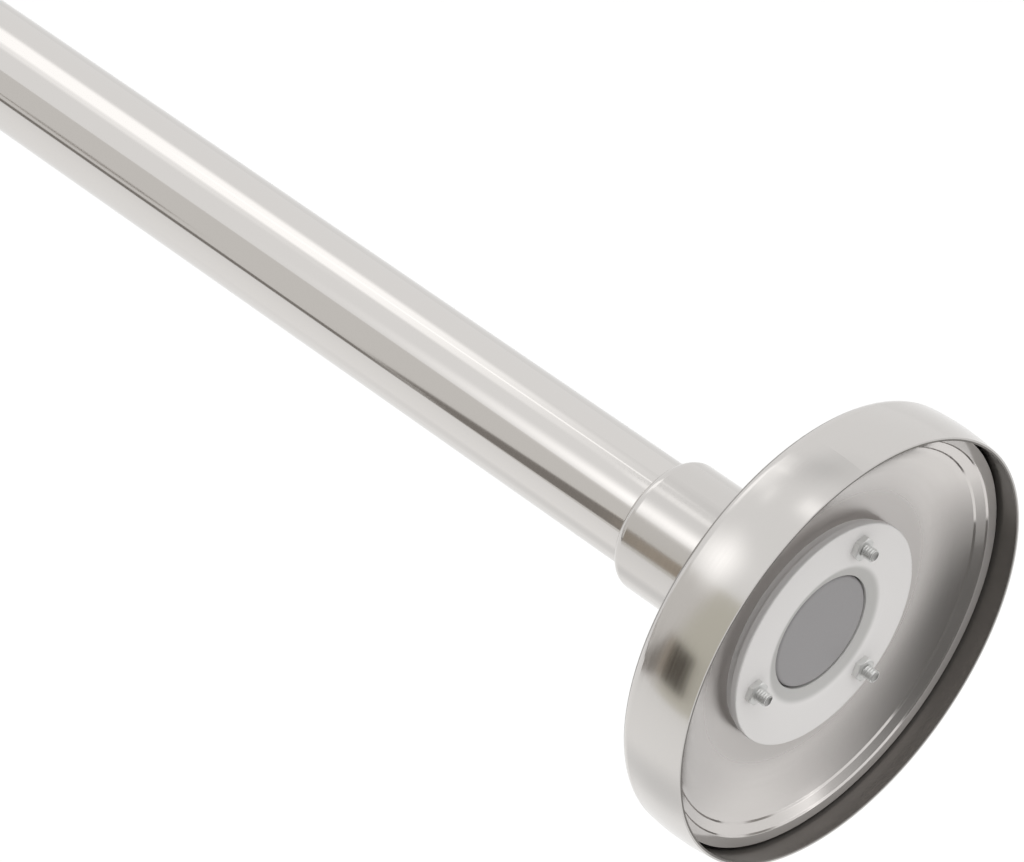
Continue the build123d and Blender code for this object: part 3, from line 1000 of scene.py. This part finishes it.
class CURTAINROD_OT_set_stage(bpy.types.Operator):
    """Set up the floor, the light, the studio cards and the camera"""

    bl_idname = "curtain_rod.set_stage"
    bl_label = "Set stage"

    def execute(self, context):
        studio = settings().studio
        scene = context.scene
        scene.view_settings.view_transform = "Standard"
        self.light_world(scene, studio)
        self.lay_floor(studio)
        self.hang_lamp(context, studio)
        for card in CARDS:
            add_card(*card)
        self.place_camera(context, studio)
        return {"FINISHED"}

    def light_world(self, scene, studio):
        """White all round for the camera and for reflections, softer on matt surfaces."""
        world = bpy.data.worlds.new("white_studio")
        scene.world = world
        world.use_nodes = True
        tree = world.node_tree
        tree.nodes.clear()
        seen = self.seen_directly(tree)
        level = add_node(
            tree,
            "ShaderNodeMapRange",
            inputs={"To Min": studio.ambient, "To Max": 1.0},
            links={"Value": seen},
        )
        sky = add_node(
            tree,
            "ShaderNodeBackground",
            inputs={"Color": rgba(WHITE)},
            links={"Strength": level.outputs["Result"]},
        )
        add_node(tree, "ShaderNodeOutputWorld", links={"Surface": sky.outputs[0]})

    def seen_directly(self, tree):
        """One where the camera, a reflection or a clear piece looks, else nought."""
        path = add_node(tree, "ShaderNodeLightPath")
        first = add_node(
            tree,
            "ShaderNodeMath",
            operation="MAXIMUM",
            links={0: path.outputs["Is Camera Ray"], 1: path.outputs["Is Glossy Ray"]},
        )
        return add_node(
            tree,
            "ShaderNodeMath",
            operation="MAXIMUM",
            links={0: first.outputs["Value"], 1: path.outputs["Is Transmission Ray"]},
        ).outputs["Value"]

    def lay_floor(self, studio):
        """A pale floor well below the rod, white to the eye but for the rod's shadow, clear from below."""
        deselect_all()
        bpy.ops.mesh.primitive_circle_add(
            vertices=64, radius=studio.floor_radius, fill_type="NGON", location=(0, 0, -studio.floor_drop)
        )
        floor = bpy.context.object
        floor.name = "floor"
        material, tree = new_material("pale_floor")
        matt = add_node(tree, "ShaderNodeBsdfDiffuse", inputs={"Color": rgba(studio.floor_colour)})
        glow = add_node(tree, "ShaderNodeEmission", inputs={"Color": rgba(WHITE), "Strength": 1.0})
        amount = add_node(
            tree,
            "ShaderNodeMath",
            operation="MULTIPLY",
            inputs={1: studio.floor_glow},
            links={0: self.seen_directly(tree)},
        )
        mixed = add_node(
            tree,
            "ShaderNodeMixShader",
            links={0: amount.outputs["Value"], 1: matt.outputs[0], 2: glow.outputs[0]},
        )
        facing = add_node(tree, "ShaderNodeNewGeometry")
        clear = add_node(tree, "ShaderNodeBsdfTransparent")
        one_sided = add_node(
            tree,
            "ShaderNodeMixShader",
            links={0: facing.outputs["Backfacing"], 1: mixed.outputs[0], 2: clear.outputs[0]},
        )
        add_node(tree, "ShaderNodeOutputMaterial", links={"Surface": one_sided.outputs[0]})
        floor.data.materials.append(material)

    def hang_lamp(self, context, studio):
        """A large soft lamp above the rod for matt surfaces and the floor's shadow."""
        data = bpy.data.lights.new("overhead_lamp", "AREA")
        data.shape = "DISK"
        data.size = studio.lamp_size
        data.energy = studio.key_power
        lamp = bpy.data.objects.new("overhead_lamp", data)
        context.collection.objects.link(lamp)
        lamp.location = studio.lamp_place
        lamp.visible_glossy = False

    def place_camera(self, context, studio):
        """The camera on the photograph's side, level, with a long lens."""
        data = bpy.data.cameras.new("camera")
        data.lens = studio.lens
        data.sensor_width = 36
        camera = bpy.data.objects.new("camera", data)
        context.collection.objects.link(camera)
        camera.location = studio.camera_place
        tilt = math.pi / 2 - studio.camera_elevation
        camera.rotation_euler = (tilt, 0, math.pi / 2 + studio.camera_azimuth)
        context.scene.camera = camera


class CURTAINROD_PT_panel(bpy.types.Panel):
    """Lists the steps that build the curtain rod, and its settings"""

    bl_idname = "CURTAINROD_PT_panel"
    bl_label = "Curtain Rod"
    bl_space_type = "VIEW_3D"
    bl_region_type = "UI"
    bl_category = "Curtain Rod"

    def draw(self, context):
        for step in STEPS:
            self.layout.operator(step.bl_idname)
        for group in (settings().finish, settings().screw, settings().studio):
            box = self.layout.box()
            for name in group.__annotations__:
                box.prop(group, name)


STEPS = (
    CURTAINROD_OT_finish_tubes,
    CURTAINROD_OT_finish_covers,
    CURTAINROD_OT_finish_dishes,
    CURTAINROD_OT_finish_rings,
    CURTAINROD_OT_model_clamp_screws,
    CURTAINROD_OT_finish_plugs,
    CURTAINROD_OT_finish_joints,
    CURTAINROD_OT_set_stage,
)
CLASSES = (
    FinishSettings,
    ScrewSettings,
    StudioSettings,
    CurtainRodSettings,
    *STEPS,
    CURTAINROD_PT_panel,
)


def register():
    for item in CLASSES:
        bpy.utils.register_class(item)
    bpy.types.Scene.curtain_rod = PointerProperty(type=CurtainRodSettings)


def unregister():
    del bpy.types.Scene.curtain_rod
    for item in reversed(CLASSES):
        bpy.utils.unregister_class(item)


def main():
    """Build everything in order."""
    register()
    bpy.ops.curtain_rod.finish_tubes()
    bpy.ops.curtain_rod.finish_covers()
    bpy.ops.curtain_rod.finish_dishes()
    bpy.ops.curtain_rod.finish_rings()
    bpy.ops.curtain_rod.model_clamp_screws()
    bpy.ops.curtain_rod.finish_plugs()
    bpy.ops.curtain_rod.finish_joints()
    bpy.ops.curtain_rod.set_stage()


if __name__ == "__main__":
    main()
